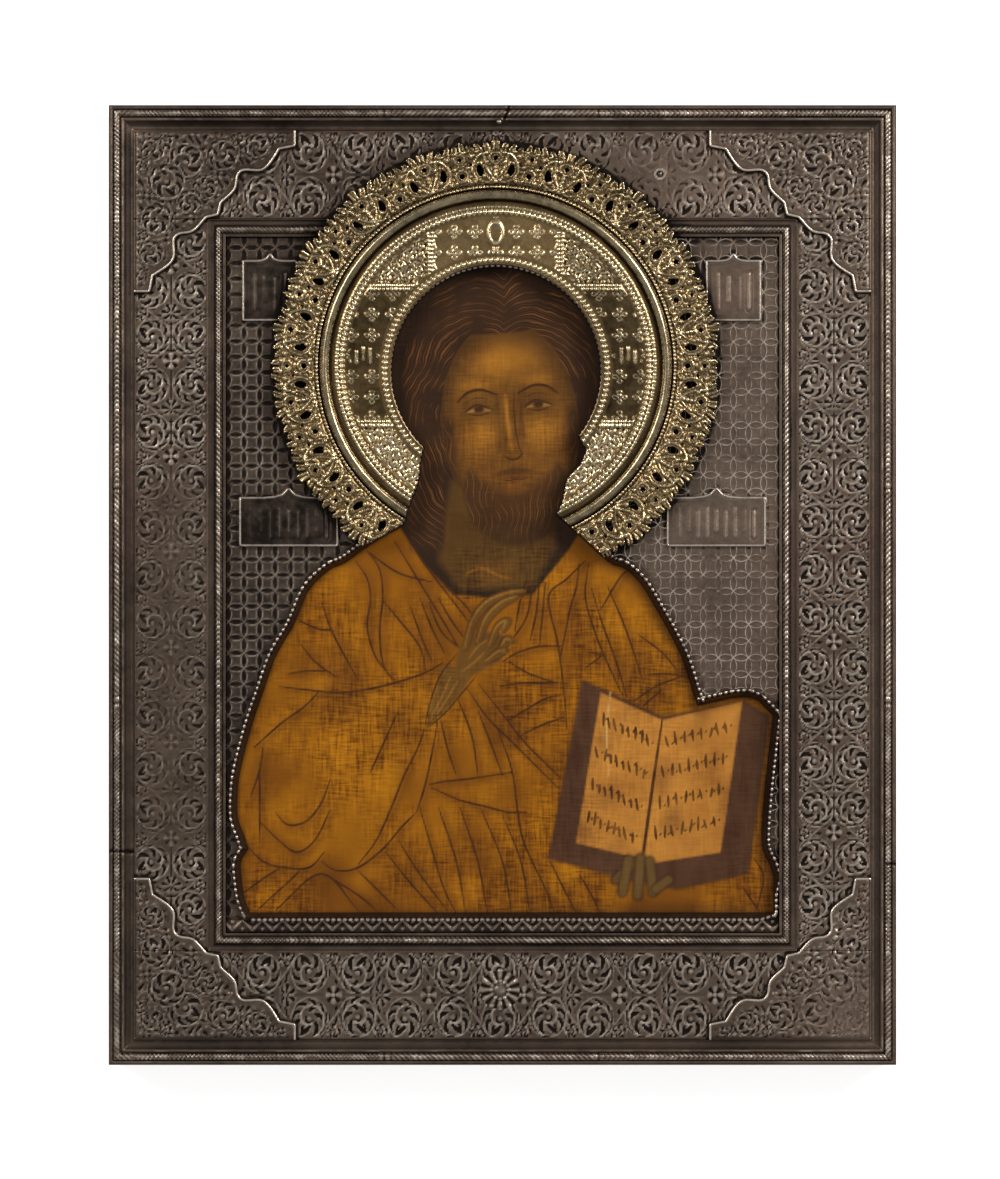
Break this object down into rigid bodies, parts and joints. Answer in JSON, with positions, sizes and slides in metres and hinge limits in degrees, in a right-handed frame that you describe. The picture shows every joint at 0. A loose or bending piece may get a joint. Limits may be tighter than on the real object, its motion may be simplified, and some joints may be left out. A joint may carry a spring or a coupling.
{
  "type": "icon panel",
  "caption": "Painted wooden icon panel in a chased, darkened silver cover cut to a robed figure with a book, with a raised and pierced gilt halo.",
  "frame": {"origin": "the middle of the board's flat back, on the surface that the panel lies on", "axes": "+X to the picture's right, +Y to the picture's top, +Z out of the picture's face"},
  "size_m": [0.256, 0.312, 0.0349],
  "materials": {
    "painted_board": "tempera painting under aged varnish on the front, bare brown wood behind",
    "darkened_silver": "chased silver sheet, dark patina in the recesses and rubbed bright on the edges",
    "gilt_silver": "gilt, pierced and chased, rubbed pale on the high parts",
    "nail_silver": "small rubbed nail heads"
  },
  "bodies": {
    "root": {"board": "painted_board", "cover": "darkened_silver", "halo": "gilt_silver", "nail_top": "nail_silver", "nail_right": "nail_silver"}
  },
  "joints": []
}
